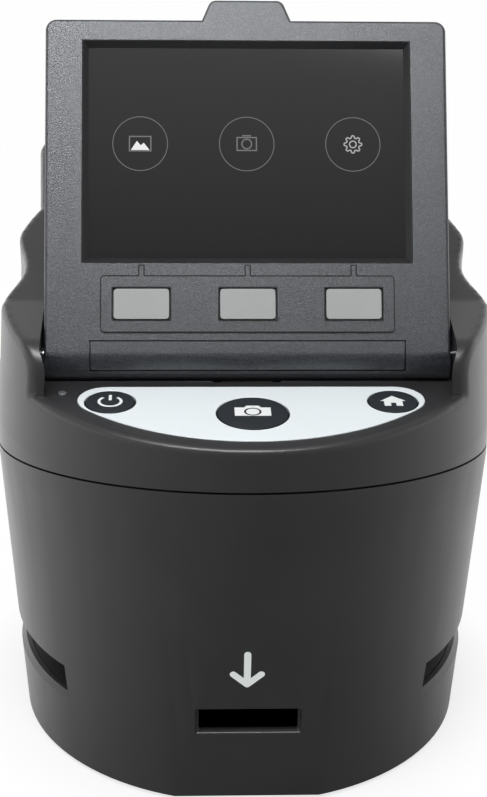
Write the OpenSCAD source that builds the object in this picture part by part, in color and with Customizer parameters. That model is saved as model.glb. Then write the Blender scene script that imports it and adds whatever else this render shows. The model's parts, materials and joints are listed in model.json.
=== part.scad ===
// Desktop film negative scanner: a round two-part casing with a film channel
// through its foot, a panel of three buttons and a tilting screen lid.
// Millimetres. X across, Y from front to back, Z up, standing on Z = 0.

/* [Casing] */
// Diameter of the round body where it is widest
body_d = 120; // [116:0.5:124]
// Diameter of the round body at its lower edge
foot_d = 110.2; // [106:0.2:114]
// Depth from the front of the round body to the rear face
body_depth = 127; // [124:0.5:134]
// Thickness of the casing at each side of the lid, at its back
ear_w = 6; // [5:0.1:7]
// Angle by which each side of the rear housing spreads to the back
rear_splay = 3.7; // [1:0.1:5]
// Distance of the hips behind the body axis
hip_y = 4.2; // [2:0.2:6]
// Angle at which the hips spread between the seam and the deck
hip_lean = 2; // [0.5:0.5:5]
// Corner radius of the rear housing
rear_corner = 9; // [5:0.5:12]
// Wall thickness of the two shells
wall = 2.4; // [1.8:0.1:2.8]
// Height of the seam between the shells, beside the body axis
seam_z = 70.5; // [68:0.5:78]
// Angle by which the seam rises to the front
seam_rise = 10.8; // [8:0.2:13]
// Width of the seam groove
seam_gap = 0.5; // [0.3:0.1:0.8]
// How far the flat at the front of the foot is set back from the round
flat_depth = 2.7; // [1:0.1:4]
// Height at which that flat runs out
flat_top = 45; // [30:1:55]
// Height by which the rubber feet lift the casing
foot_h = 1; // [0.5:0.1:2]

/* [Film channel] */
// Height of the channel floor above the lower edge
slot_z = 18.3; // [17.5:0.1:22]
// Clear height of the channel
slot_h = 8.2; // [7:0.1:10]
// Clear width of the channel, front to back
slot_w = 74.4; // [68:0.2:76]
// Height of the flared lip under each side slot
lip_h = 1.3; // [0.5:0.1:2]
// Width of the sight window in the front
window_w = 22.8; // [16:0.2:24]
// Height of the sight window
window_h = 6.5; // [4.5:0.1:7]
// Length of the lit film frame, across the body
gate_w = 38; // [30:0.5:42]
// Width of the lit film frame, front to back
gate_d = 26; // [20:0.5:30]

/* [Panel] */
// Height of the rim plane above the seam, at the body axis
rim_rise = 25.3; // [24:0.1:28]
// Angle by which the panel rises to the back
panel_slope = 3.8; // [2:0.1:6]
// Width of the rim around the panel
rim_w = 2.6; // [1.8:0.1:3.5]
// Depth of the panel below the rim
panel_sink = 0.8; // [0.4:0.1:1.2]
// Sideways place of the inlay and its buttons
panel_x = 0.6; // [-1:0.1:1]
// Distance of the inlay from the front of the body
inlay_front = 6.3; // [5.5:0.1:7.5]
// Distance of the inlay's straight back edge from the gap round the hinge barrel
inlay_back = 0.8; // [0.2:0.1:2]
// Radius of the inlay's front curve
inlay_r = 52; // [50:0.5:54]
// Radius of the inlay's ends
inlay_end = 6.6; // [6.2:0.1:7]
// Thickness of the inlay
inlay_t = 0.8; // [0.5:0.1:1]
// Radius of the capture button in the middle
capture_r = 7.9; // [6.5:0.1:8.5]
// Radius of the two outer buttons
side_r = 5.5; // [4.5:0.1:5.8]
// Distance of the outer buttons from the middle one
side_x = 31.9; // [31:0.1:32.2]
// Distance from the front of the body to the capture button
capture_back = 19.7; // [18.8:0.1:21.5]
// Width of the inlay behind the outer buttons
side_back = 2; // [1.5:0.1:2.5]
// Travel of the panel buttons
button_travel = 0.7; // [0.4:0.1:0.9]

/* [Lid] */
// Width of the lid's face at each side of the screen
lid_side = 10; // [8.6:0.1:11]
// Width of the lid's face above the screen
lid_head = 6.4; // [5:0.1:7]
// Thickness of the lid, also the diameter of its hinge barrel
lid_t = 12; // [11:0.1:12.5]
// Radius of the upper corners
lid_corner = 2.6; // [1.5:0.1:5]
// Wall thickness of the lid halves
lid_wall = 1.8; // [1.2:0.1:2]
// Angle at which the opened lid stands
lid_rest = 62.5; // [40:0.5:75]
// Angle of the closed lid and of the deck beside it
deck_slope = 16.4; // [14:0.2:18]
// Gap between the lid and the casing at each side
lid_gap = 0.5; // [0.3:0.1:0.8]
// Gap under the closed lid and round its barrel
well_gap = 0.8; // [0.5:0.1:1]
// Distance from the front of the body to the hinge axis
hinge_back = 41; // [40.5:0.1:42]
// Height of the hinge axis above the rim plane at the body axis
hinge_rise = 2.5; // [2:0.1:3.5]
// Radius of the hinge pins
pin_r = 2; // [1.5:0.1:2.4]
// Length of the finger tab on the top edge
tab_h = 4.8; // [2:0.1:5]
// Width of the finger tab at its root
tab_w = 20.8; // [16:0.2:26]

/* [Screen] */
// Width of the visible screen
screen_w = 73.4; // [68:0.2:75]
// Height of the visible screen
screen_h = 49.5; // [44:0.2:51]
// Distance from the hinge axis to the lower edge of the screen
screen_low = 22.1; // [21.6:0.1:23]
// Width of the sloping black frame round the screen
bevel_w = 1.5; // [0.8:0.1:2]

/* [Keys] */
// Width of a lid key
key_w = 12.7; // [10:0.1:15]
// Height of a lid key
key_h = 7; // [5:0.1:7.6]
// Spacing of the lid keys
key_pitch = 24.4; // [20:0.1:25]
// Distance from the hinge axis to the middle of the keys
key_mid = 11.1; // [10.6:0.1:11.4]
// Travel of the lid keys
key_travel = 0.6; // [0.3:0.1:0.8]

/* [Grips] */
// Radius of the finger scallop in each side
grip_r = 15; // [10:0.5:20]
// Depth of the scallop
grip_depth = 4.5; // [2:0.1:5]
// Distance of the scallop behind the body axis
grip_y = 5.7; // [2:0.1:10]
// Height of the scallop below the deck
grip_h = 18; // [10:0.5:22]

/* [Fits] */
// Clearance between a piece and the seat that holds it
fit = 0.2; // [0.1:0.05:0.4]
// Gap round a button or key
key_gap = 0.35; // [0.25:0.05:0.5]
// Radial clearance of the hinge pins in their bushes
pin_play = 0.05; // [0.02:0.01:0.09]
// Radius of a screw shank
screw_r = 1.25; // [1:0.05:1.5]
// Radius of a screw head
head_r = 2.6; // [2.2:0.1:2.9]
// Height of a screw head
head_h = 1.4; // [1:0.1:1.6]
// Thickness of the circuit boards
board_t = 1.6; // [1:0.1:2]

/* [Hidden] */
$fn = 64;

shell_colour = "#2c2d30";
lid_colour = "#4a4d53";
key_colour = "#9fa1a4";
steel_colour = "#b4b6ba";
board_colour = "#1f5a3c";
chip_colour = "#17181a";
glass_colour = "#202226";
black_colour = "#101113";
lens_colour = "#26282b";

// Larger than the whole object, for cuts that run right through it
span = 150;
// Overlap of a cut past the face that it opens
over = 1;

lid_w = screen_w + 2 * lid_side;
lid_l = screen_low + screen_h + lid_head;
screen_mid = screen_low + screen_h / 2;
well_w = lid_w + 2 * lid_gap;
well_l = lid_l + 0.7;
rear_w = well_w + 2 * ear_w;
barrel_r = lid_t / 2;

body_r = body_d / 2;
foot_r = foot_d / 2;
rear_y = body_depth - body_r;
axis_y = (body_r - rear_y) / 2;
// Side of the casing: a cone up to full_z, upright to taper_z, then drawn in
full_z = seam_z;
taper_z = seam_z + 9.5;
taper = 0.063;
crown_z = seam_z + 68;
crown_r = body_r - taper * (crown_z - taper_z);
hip_r = body_r - hip_y;
hip_h = crown_z - seam_z;
flat_y = foot_r - flat_depth;
flat_lean = atan((foot_r + (body_r - foot_r) * flat_top / full_z - flat_y) / flat_top);

rim_z = seam_z + rim_rise;
hinge_y = hinge_back - body_r;
hinge_z = rim_z + hinge_rise;
// Height of the deck over the hinge axis, square to the closed lid
deck_lift = barrel_r + 0.5;
knee_y = hinge_y + 10.6;
ear_round = 6;
ear_y = hinge_y - 13.5;
ear_top = hinge_z + 6.9;
deck_t = 2.4;
well_wall = 2.6;
tab_gap = 1;
notch_floor = 1;

plate_t = 2.4;
foot_pad_r = 4.5;
foot_pad_sink = 0.8;
column_r = 4.2;
web_l = 20;
lip_t = 1.2;
// The columns stand midway between the channel's rails and the walls
rail_t = 3;
bed_w = slot_w + 2 * rail_t;
front_columns = [18, -(bed_w / 2 + flat_y - wall) / 2];
rear_columns = [40, (bed_w / 2 + rear_y - wall) / 2];
columns = both_sides([front_columns, rear_columns]);
feet = both_sides([front_columns + [9, 6], rear_columns - [2, 12.4]]);
pilot_r = screw_r + 0.05;
pilot_l = 9;
// Small screws: shank, pilot, clearance hole and head
small_screw = 0.8;
small_pilot = small_screw + 0.05;
small_hole = small_screw + 0.1;
small_head = 1.5;
small_head_h = 1;
// Thickness that the long screws clamp under their heads
screw_seat = 5;

bed_t = 2.4;
leg_r = 3.2;
legs = corners(gate_w / 2 + 11, slot_w / 2 - 9.2);
aperture_z = slot_z + slot_h;
aperture_t = 2;
aperture_bosses = corners(gate_w / 2 + 7, (slot_w + rail_t) / 2);
aperture_grip = 6;
window_z = slot_z + 0.8;
window_flare = 0.7;
// Where the side slots run from the round of the body to the straight rear housing
corner_y = 25;

backlight_z = 6;
backlight_w = gate_w + 18;
backlight_d = gate_d + 16;
backlight_posts = corners(backlight_w / 2 - 5, backlight_d / 2 - 4);
lamp_pitch = [(gate_w - 2.8) / 4, (gate_d - 4.4) / 3];
lamp_size = [3.5, 2.8, 1.2];
diffuser_t = 2;
diffuser_margin = 4;

shaft_wall = 1.5;
shaft_h = 17.5;
shaft_z = aperture_z + aperture_t;
bracket_z = shaft_z + shaft_h;
bracket_t = 3;
bracket_w = gate_w + 32;
bracket_d = gate_d + 24;
bracket_legs = corners(bracket_w / 2 - 6, bracket_d / 2 - 6);
holder_z = bracket_z + bracket_t;
holder_h = 13;
holder_r = 9.5;
holder_flange = 26;
holder_flange_t = 2;
holder_screw = holder_flange / 2 - 3;
lens_r = 6;
lens_seat_r = lens_r - 1.6;
lens_bore_r = lens_r - 2.4;
lens_press = 0.02;
lens_below = 7;
lens_z = holder_z - bracket_t - lens_below;
sensor_board_w = 34;
sensor_w = 11;
sensor_d = 9;
sensor_t = 1.5;

main_z = rim_z - 15.8;
main_w = 88;
main_front = hinge_y + 5;
main_back = rear_y - wall - 1;
main_bosses = [for (x = [-1, 1]) for (y = [main_front + 8, main_back - 29.6]) [x * (main_w / 2 - 10), y]];
boss_r = 2.6;
button_boss_r = 2.2;
// Sockets on the back edge of the main board: place, width, height and depth
port_reach = 1.4;
port_depth = 7;
port_t = 3;
port_skin = 0.5;
usb_x = 26;
usb_w = 8;
tv_x = 8;
tv_w = 11.4;
tv_t = 3.4;
card_x = -18;
card_w = 25;
card_depth = 28;

inlay_top = -panel_sink + 0.2;
inlay_y = inlay_front + inlay_r - body_r;
inlay_back_y = hinge_y - barrel_r - well_gap - inlay_back;
inlay_corner_y = inlay_back_y - inlay_end;
inlay_corner_x = sqrt(pow(inlay_r - inlay_end, 2) - pow(inlay_corner_y - inlay_y, 2));
inlay_angle = atan2(inlay_corner_y - inlay_y, inlay_corner_x);
panel_t = well_wall;
panel_under = -panel_sink - panel_t;
capture_pos = [panel_x, capture_back - body_r];
side_y = inlay_back_y - side_back - key_gap - side_r;
power_pos = [panel_x - side_x, side_y];
home_pos = [panel_x + side_x, side_y];
cap_top = inlay_top + 0.1;
flange_w = 1.2;
flange_t = 1.2;
stop_gap = 0.3;
status_gap = 3.6;
status_pos = [panel_x - inlay_corner_x - inlay_end - status_gap, inlay_back_y - 3];
status_r = 1;
status_shoulder = 0.6;
button_board_n = -12;
inner_boss = [capture_r + 5, capture_pos[1] + 7.2];
outer_boss = [side_x - 4, side_y - 10.4];
button_bosses = [for (p = both_sides([inner_boss, outer_boss])) [p[0] + panel_x, p[1]]];
switch_w = 6;
switch_h = 2.4;
plunger_r = 1.6;
plunger_h = 0.9;
// Gap between a button's stem and its switch once it is pressed
press_gap = 0.1;

bush_l = 9;
bush_r = barrel_r - lid_wall - 0.1;
pin_seat = 4.5;
pin_reach = lid_gap + lid_wall + bush_l;
face_n = barrel_r;
plate_n = barrel_r - lid_wall;
lid_posts = [for (x = [-1, 1]) for (s = [19, lid_l - 4]) [x * (lid_w / 2 - 4.7), s]];
lid_post_r = 2.3;
glass_t = 1;
glass_rim = lid_side - 7.5;
lcd_t = 2.6;
pad_w = 2 * key_pitch + key_w + 5.9;
pad_h = key_h + 6;
pad_rise = 0.25;
pad_corner = 0.8;
strip_w = lid_w - 21;
strip_t = 1;
strip_top = key_mid - pad_h / 2 - 1.95;
strip_bottom = 1.9 - barrel_r;
key_rise = 0.35;
key_flange = 1;
key_flange_t = 0.8;
key_switch = [5, 4, 0.8];
key_plunger_r = 1.1;
key_plunger_h = 0.4;
ribbon_w = 12;
ribbon_t = 0.3;
ribbon_play = 4;

// Points of an arc from angle a to angle b about a centre
function arc(x, y, r, a, b, n = 12) =
    [for (i = [0:n]) let (t = a + (b - a) * i / n) [x + r * cos(t), y + r * sin(t)]];
// Places on both sides of the middle, and at the four corners of a rectangle
function both_sides(places) = [for (p = places) for (side = [-1, 1]) [side * p[0], p[1]]];
function corners(x, y) = both_sides([[x, -y], [x, y]]);
// Height of the deck plane at a distance y behind the body axis
function deck_z(y) = hinge_z + deck_lift / cos(deck_slope) + (y - hinge_y) * tan(deck_slope);
// Height of the rim plane and of the seam plane
function rim_at(y) = rim_z + y * tan(panel_slope);
function seam_at(y) = seam_z - y * tan(seam_rise);

// Repeats a piece at each place of a list
module at_each(places) for (p = places) translate([p[0], p[1], 0]) children();
// Moves the casing's own frame, on the body axis at the lower edge, to the part's frame
module in_frame() translate([0, axis_y, foot_h]) children();
// Frame of the panel: Z is square to the rim plane
module on_panel() translate([0, 0, rim_z]) rotate([panel_slope, 0, 0]) children();
// Frame of the lid: Y runs up the lid from the hinge axis, Z out of its face
module at_hinge(angle) translate([0, hinge_y, hinge_z]) rotate([angle, 0, 0]) children();
module on_lid() in_frame() at_hinge(lid_rest) children();
// Both ends of the hinge: Z runs out through the ear from its inner face
module at_pins() for (side = [-1, 1]) translate([side * well_w / 2, hinge_y, hinge_z])
    rotate([0, side * 90, 0]) children();
// Lays an outline of Y and Z points across the whole width
module across(w) rotate([90, 0, 90]) linear_extrude(w, center = true) children();

module rounded(w, h, r) {
    square([w - 2 * r, h], center = true);
    square([w, h - 2 * r], center = true);
    for (x = [-1, 1], y = [-1, 1]) translate([x * (w / 2 - r), y * (h / 2 - r)]) circle(r);
}

module block(w, d, h) translate([-w / 2, -d / 2, 0]) cube([w, d, h]);

// A screw pointing up from its head at Z = 0
module screw(l) {
    cylinder(r = head_r, h = head_h);
    cylinder(r = screw_r, h = l);
}

module screw_hole(l) {
    cylinder(r = screw_r + fit, h = l);
    translate([0, 0, -over]) cylinder(r = head_r + fit, h = head_h + over);
}

// ---------------------------------------------------------------- casing forms

module rear_outline(inset) {
    r = rear_corner - inset;
    x = rear_w / 2 - rear_corner * (tan(rear_splay) + 1 / cos(rear_splay));
    y = rear_y - rear_corner;
    side_at = [x + r * cos(rear_splay), y - r * sin(rear_splay)];
    front_x = rear_w / 2 - rear_y * tan(rear_splay) - inset / cos(rear_splay);
    for (side = [-1, 1]) translate([side * x, y]) circle(r);
    polygon([
        [front_x, 0], side_at, [x, y + r], [-x, y + r], [-side_at[0], side_at[1]], [-front_x, 0]
    ]);
}

// Both sides of the rear housing: X square out of the side, Y along it, from the back corner
module beside_rear() for (side = [0, 1]) mirror([side, 0, 0])
    translate([rear_w / 2, rear_y, 0]) rotate([0, 0, -rear_splay]) children();

// The full form of the casing, set in all round
module casing(inset) {
    rotate_extrude($fn = 128) polygon([
        [0, 0], [foot_r - inset, 0], [body_r - inset, full_z],
        [body_r - inset, taper_z], [crown_r - inset, crown_z], [0, crown_z]
    ]);
    linear_extrude(crown_z) rear_outline(inset);
    translate([0, hip_y, seam_z])
        cylinder(r1 = hip_r - inset, r2 = hip_r - inset + hip_h * tan(hip_lean), h = hip_h, $fn = 128);
}

// Everything in front of the flat of the foot
module front_cut(inset) translate([0, inset - flat_y, 0]) rotate([flat_lean, 0, 0])
    translate([-span, -span, -span]) cube([2 * span, span, 2 * span]);

module foot_outline(inset) difference() {
    union() {
        circle(foot_r - inset, $fn = 128);
        rear_outline(inset);
    }
    translate([-span, inset - flat_y - span]) square([2 * span, span]);
}

// A round column with a web that ties it to the wall before or behind it
module column_bars(grow) for (p = columns) translate([p[0], p[1], 0]) {
    cylinder(r = column_r + grow, h = span);
    translate([0, sign(p[1]) * web_l / 2, 0]) block(wall + 2 * grow, web_l, span);
}

module below_seam(shift) translate([0, 0, seam_z + shift]) rotate([-seam_rise, 0, 0])
    translate([-span, -span, -2 * span]) cube(2 * span);

module above_seam(shift) translate([0, 0, seam_z + shift]) rotate([-seam_rise, 0, 0])
    translate([-span, -span, 0]) cube(2 * span);

// Side view of the upper shell: rim, ear and deck, lowered by drop
module top_line(drop) across(2 * span) polygon(concat(
    [[-span, 0], [-span, rim_at(-span) - drop], [ear_y + drop, rim_at(ear_y) - drop]],
    arc(ear_y + ear_round, ear_top - ear_round, ear_round - drop, 180, 90),
    [[knee_y, deck_z(knee_y) - drop], [span, deck_z(span) - drop], [span, 0]]
));

// Side view of the room for the closed lid, its barrel and the panel
module well_profile(grow) {
    translate([hinge_y, hinge_z]) {
        circle(barrel_r + well_gap + grow);
        rotate(deck_slope) translate([0, -barrel_r - well_gap - grow]) square([well_l + grow, span]);
    }
    translate([0, rim_z]) rotate(panel_slope) translate([-span, -panel_sink - grow])
        square([span + hinge_y + barrel_r / 2, span]);
}

// Room for the lid, the panel and the finger tab, grown by the wall round it
module well(grow) {
    intersection() {
        across(well_w + 2 * grow) well_profile(grow);
        union() {
            casing(rim_w - grow);
            translate([-span, hinge_y, 0]) cube(2 * span);
        }
    }
    notch_w = tab_w + 4 * tab_gap + 2 * grow;
    at_hinge(deck_slope) translate([-notch_w / 2, well_l / 2, notch_floor - tab_gap - grow])
        cube([notch_w, span, span]);
}

module grips(grow) for (side = [-1, 1]) {
    x = sqrt(pow(body_r - taper * (deck_z(grip_y) - taper_z), 2) - pow(grip_y, 2));
    translate([side * (x - grip_depth + grip_r), grip_y, deck_z(grip_y) - grip_h - grow])
        cylinder(r = grip_r + grow, h = span);
}

module inlay_outline(grow) translate([panel_x, 0]) polygon(concat(
    arc(0, inlay_y, inlay_r + grow, 180 - inlay_angle, 360 + inlay_angle, 40),
    arc(inlay_corner_x, inlay_corner_y, inlay_end + grow, inlay_angle, 90),
    arc(-inlay_corner_x, inlay_corner_y, inlay_end + grow, 90, 180 - inlay_angle)
));

// ---------------------------------------------------------------- foot and lower shell

module lower_shell() color(shell_colour) in_frame() difference() {
    union() {
        difference() {
            intersection() {
                casing(0);
                below_seam(-seam_gap / 2);
            }
            front_cut(0);
            difference() {
                casing(wall);
                front_cut(wall);
            }
            translate([0, 0, -over]) linear_extrude(plate_t + over) foot_outline(wall);
        }
        intersection() {
            casing(wall / 2);
            below_seam(0);
            translate([0, 0, plate_t]) column_bars(0);
        }
    }
    front_cut(0);
    translate([-span, -slot_w / 2, slot_z]) cube([2 * span, slot_w, slot_h]);
    slot_flare();
    translate([-window_w / 2, -span, window_z]) cube([window_w, span - bed_w / 2, window_h]);
    across(window_w + 2 * window_flare) polygon([
        [-foot_r + wall / 2, window_z], [-foot_r - 2 * wall, window_z - 2.6],
        [-foot_r - 2 * wall, window_z + window_h + 0.2], [-foot_r + wall / 2, window_z + window_h]
    ]);
    for (p = columns) {
        translate([p[0], p[1], 0]) cylinder(r = pilot_r, h = plate_t + pilot_l);
        translate([p[0], p[1], seam_at(p[1]) - pilot_l]) cylinder(r = pilot_r, h = span);
    }
}

// Slope that widens the foot of each side slot towards the outside
module slot_flare() {
    function slope(r) = [
        [r - wall / 2, slot_z], [r + 3 * wall, slot_z - 7 * lip_h],
        [r + 3 * wall, slot_z + over], [r - wall / 2, slot_z + over]
    ];
    round_r = foot_r + (body_r - foot_r) * slot_z / full_z;
    intersection() {
        rotate_extrude($fn = 128) polygon(slope(round_r));
        translate([-span, -slot_w / 2, 0]) cube([2 * span, slot_w / 2 + corner_y, span]);
    }
    intersection() {
        beside_rear() rotate([90, 0, 0]) linear_extrude(span) polygon(slope(0));
        translate([-span, corner_y, 0]) cube([2 * span, slot_w / 2 - corner_y, span]);
    }
}

module base_plate() color(shell_colour) in_frame() difference() {
    union() {
        linear_extrude(plate_t) foot_outline(wall + fit);
        at_each(backlight_posts) cylinder(r = boss_r, h = backlight_z);
    }
    at_each(concat(columns, legs)) screw_hole(span);
    at_each(feet) translate([0, 0, -over]) cylinder(r = foot_pad_r + fit, h = foot_pad_sink + over);
}

module rubber_feet() color(black_colour) in_frame()
    at_each(feet) translate([0, 0, -foot_h]) cylinder(r = foot_pad_r, h = foot_h + foot_pad_sink);

module base_screws() color(steel_colour) in_frame()
    at_each(columns) screw(plate_t + pilot_l - 1);

module tray_screws() color(steel_colour) in_frame()
    at_each(legs) screw(plate_t + pilot_l - 1);

// ---------------------------------------------------------------- film channel and lamps

module gate_hole(margin) translate([0, 0, -span / 2]) block(gate_w + margin, gate_d + margin, span);

module tray_bed() color(black_colour) in_frame() difference() {
    union() {
        intersection() {
            casing(wall + fit);
            union() {
                translate([-span, -bed_w / 2, slot_z - bed_t]) cube([2 * span, bed_w, bed_t]);
                for (y = [-bed_w / 2, slot_w / 2])
                    translate([-span, y, slot_z - over]) cube([2 * span, rail_t, slot_h + over]);
            }
        }
        at_each(legs) translate([0, 0, plate_t]) cylinder(r = leg_r, h = slot_z - bed_t - plate_t + over);
    }
    gate_hole(0);
    column_bars(fit);
    translate([-window_w / 2, -span, window_z]) cube([window_w, span, window_h]);
    at_each(legs) cylinder(r = pilot_r, h = plate_t + pilot_l);
    at_each(aperture_bosses) translate([0, 0, aperture_z - aperture_grip])
        cylinder(r = small_pilot, h = span);
}

module aperture_plate() color(black_colour) in_frame() difference() {
    intersection() {
        casing(wall + fit);
        translate([-span, -bed_w / 2, aperture_z]) cube([2 * span, bed_w, aperture_t]);
    }
    gate_hole(-2);
    column_bars(fit);
    at_each(bracket_legs) cylinder(r = pilot_r, h = span);
    at_each(aperture_bosses) cylinder(r = small_pilot, h = span);
}

// A small screw pointing down, with its head on Z = 0
module small_screw_down(l) {
    cylinder(r = small_head, h = small_head_h);
    translate([0, 0, -l]) cylinder(r = small_screw, h = l);
}

module aperture_screws() color(steel_colour) in_frame() at_each(aperture_bosses)
    translate([0, 0, aperture_z + aperture_t]) small_screw_down(aperture_t + aperture_grip - 1.5);

module backlight_board() color(board_colour) in_frame()
    translate([0, 0, backlight_z]) block(backlight_w, backlight_d, board_t);

module backlight_lamps() color("#f2efd8") in_frame() for (i = [-1.5:1.5], j = [-1:1])
    translate([i * lamp_pitch[0], j * lamp_pitch[1], backlight_z + board_t])
    block(lamp_size[0], lamp_size[1], lamp_size[2]);

module light_box() color("#e8e9ea") in_frame() translate([0, 0, backlight_z + board_t]) {
    h = slot_z - bed_t - diffuser_t - backlight_z - board_t;
    difference() {
        block(gate_w + 2 * diffuser_margin, gate_d + 2 * diffuser_margin, h);
        translate([0, 0, -over]) block(gate_w + diffuser_margin, gate_d + diffuser_margin, h + 2 * over);
    }
}

module light_diffuser() color("#f6f6f2") in_frame() translate([0, 0, slot_z - bed_t - diffuser_t])
    block(gate_w + 2 * diffuser_margin, gate_d + 2 * diffuser_margin, diffuser_t);

// ---------------------------------------------------------------- optics

module light_shaft() color(black_colour) in_frame() translate([0, 0, shaft_z]) difference() {
    block(gate_w + 2 * shaft_wall, gate_d + 2 * shaft_wall, shaft_h);
    translate([0, 0, -over]) block(gate_w, gate_d, shaft_h + 2 * over);
}

module lens_bracket() color(black_colour) in_frame() difference() {
    union() {
        translate([0, 0, bracket_z]) linear_extrude(bracket_t) rounded(bracket_w, bracket_d, 4);
        at_each(bracket_legs) translate([0, 0, shaft_z]) cylinder(r = leg_r, h = shaft_h + over);
    }
    cylinder(r = lens_r + 1.5, h = span);
    for (p = bracket_legs) translate([p[0], p[1], 0]) {
        cylinder(r = screw_r + fit, h = span);
        translate([0, 0, shaft_z + screw_seat]) cylinder(r = head_r + fit / 2, h = span);
    }
    for (side = [-1, 1]) translate([side * holder_screw, holder_screw, bracket_z])
        cylinder(r = small_pilot, h = span);
}

module bracket_screws() color(steel_colour) in_frame()
    at_each(bracket_legs) translate([0, 0, shaft_z + screw_seat + head_h])
        mirror([0, 0, 1]) screw(head_h + screw_seat + 1.5);

module lens_holder() color(black_colour) in_frame() translate([0, 0, holder_z]) difference() {
    union() {
        linear_extrude(holder_flange_t) rounded(holder_flange, holder_flange, 3);
        cylinder(r = holder_r, h = holder_h);
    }
    translate([0, 0, -over]) cylinder(r = lens_r + pin_play, h = span);
    translate([0, 0, holder_h - 4]) cylinder(r = holder_r - 1.6, h = span);
    for (side = [-1, 1]) translate([side * holder_screw, holder_screw, -over])
        cylinder(r = small_hole, h = span);
}

module lens_barrel() color(lens_colour) in_frame() translate([0, 0, lens_z]) difference() {
    cylinder(r = lens_r, h = lens_below + bracket_t + holder_h - 5);
    translate([0, 0, -over]) cylinder(r = lens_seat_r, h = 3.2 + over);
    cylinder(r = lens_bore_r, h = span);
}

module lens_glass() color("#5d7890") in_frame() translate([0, 0, lens_z]) {
    translate([0, 0, 1.2]) cylinder(r = lens_seat_r - lens_press, h = 2);
    translate([0, 0, lens_below + bracket_t + 2]) cylinder(r = lens_bore_r - lens_press, h = 2.4);
}

module sensor_board() color(board_colour) in_frame() translate([0, 0, holder_z + holder_h]) difference() {
    block(sensor_board_w, sensor_board_w, board_t);
    at_each(bracket_legs) translate([0, 0, -over]) cylinder(r = leg_r, h = span);
}

module image_sensor() color(chip_colour) in_frame()
    translate([0, 0, holder_z + holder_h - sensor_t]) block(sensor_w, sensor_d, sensor_t);

module sensor_screws() color(steel_colour) in_frame() for (side = [-1, 1])
    translate([side * holder_screw, holder_screw, holder_z + holder_flange_t])
        small_screw_down(holder_flange_t + 2);

module sensor_ribbon() color("#d8d4c4") in_frame() across(ribbon_w) {
    top = holder_z + holder_h + board_t;
    y = sensor_board_w / 2;
    polygon([
        [y - 5, top], [y + 6, top], [y + 6, main_z], [y + 6 - ribbon_t, main_z],
        [y + 6 - ribbon_t, top + ribbon_t], [y - 5, top + ribbon_t]
    ]);
}

// ---------------------------------------------------------------- upper shell and panel

module upper_shell() color(shell_colour) in_frame() difference() {
    union() {
        difference() {
            intersection() {
                casing(0);
                above_seam(seam_gap / 2);
                top_line(0);
            }
            difference() {
                casing(wall);
                well(well_wall);
                grips(wall);
                translate([0, 0, seam_z]) above_deck(deck_t);
            }
        }
        seam_lip();
        intersection() {
            casing(wall / 2);
            above_seam(0);
            top_line(deck_t / 2);
            union() {
                column_bars(0);
                at_each(main_bosses) translate([0, 0, main_z + board_t]) cylinder(r = boss_r, h = span);
                on_panel() at_each(button_bosses) translate([0, 0, button_board_n + board_t])
                    cylinder(r = button_boss_r, h = -button_board_n);
                at_pins() cylinder(r = pin_r + wall, h = pin_seat + wall);
            }
        }
    }
    well(0);
    grips(0);
    on_panel() panel_cuts();
    for (p = columns) translate([p[0], p[1], 0]) {
        cylinder(r = screw_r + fit, h = span);
        translate([0, 0, seam_at(p[1]) + screw_seat]) cylinder(r = head_r + fit, h = span);
    }
    at_each(main_bosses) translate([0, 0, main_z]) cylinder(r = pilot_r, h = board_t + 7);
    at_pins() translate([0, 0, -over]) cylinder(r = pin_r + 0.02, h = pin_seat + over);
    translate([0, hinge_y, hinge_z - barrel_r - ribbon_play]) block(ribbon_w + ribbon_play, 3, 2 * ribbon_play);
    rear_ports(2 * fit);
}

// All that lies above the underside of the deck, as seen from the seam
module above_deck(drop) translate([0, 0, -seam_z]) difference() {
    translate([-span, -span, 0]) cube(2 * span);
    top_line(drop);
}

// Lip of the upper shell that centres it in the lower one
module seam_lip() difference() {
    union() {
        intersection() {
            casing(wall + fit);
            above_seam(-3);
            below_seam(3);
        }
        intersection() {
            casing(wall / 2);
            above_seam(seam_gap / 2);
            below_seam(3);
        }
    }
    casing(wall + fit + lip_t);
    column_bars(fit);
}

module panel_cuts() {
    translate([0, 0, inlay_top - inlay_t]) linear_extrude(span) inlay_outline(fit / 2);
    translate([capture_pos[0], capture_pos[1], -span / 2]) cylinder(r = capture_r + key_gap, h = span);
    at_each([power_pos, home_pos]) translate([0, 0, -span / 2]) cylinder(r = side_r + key_gap, h = span);
    translate([status_pos[0], status_pos[1], panel_under - over]) cylinder(r = status_r + fit / 2, h = span);
    at_each(button_bosses) translate([0, 0, button_board_n]) cylinder(r = small_pilot, h = board_t + 6);
}

module case_screws() color(steel_colour) in_frame() for (p = columns)
    translate([p[0], p[1], seam_at(p[1]) + screw_seat + head_h]) mirror([0, 0, 1])
        screw(head_h + screw_seat + pilot_l - 1);

module panel_inlay() color("#eceff1") in_frame() on_panel() difference() {
    translate([0, 0, inlay_top - inlay_t]) linear_extrude(inlay_t) inlay_outline(0);
    translate([capture_pos[0], capture_pos[1], -span / 2]) cylinder(r = capture_r + key_gap, h = span);
    at_each([power_pos, home_pos]) translate([0, 0, -span / 2]) cylinder(r = side_r + key_gap, h = span);
}

module status_lens() color("#3a3d40") in_frame() on_panel() translate([status_pos[0], status_pos[1], 0]) {
    translate([0, 0, panel_under - 1]) cylinder(r = status_r, h = 1 + panel_t + 0.3);
    translate([0, 0, panel_under - 1.8]) cylinder(r = status_r + status_shoulder, h = 1.8);
}

module status_lamp() color("#f0f0e8") in_frame() on_panel()
    translate([status_pos[0], status_pos[1], button_board_n + board_t])
        cylinder(r = status_r + status_shoulder, h = panel_under - 2 - button_board_n - board_t);

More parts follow.
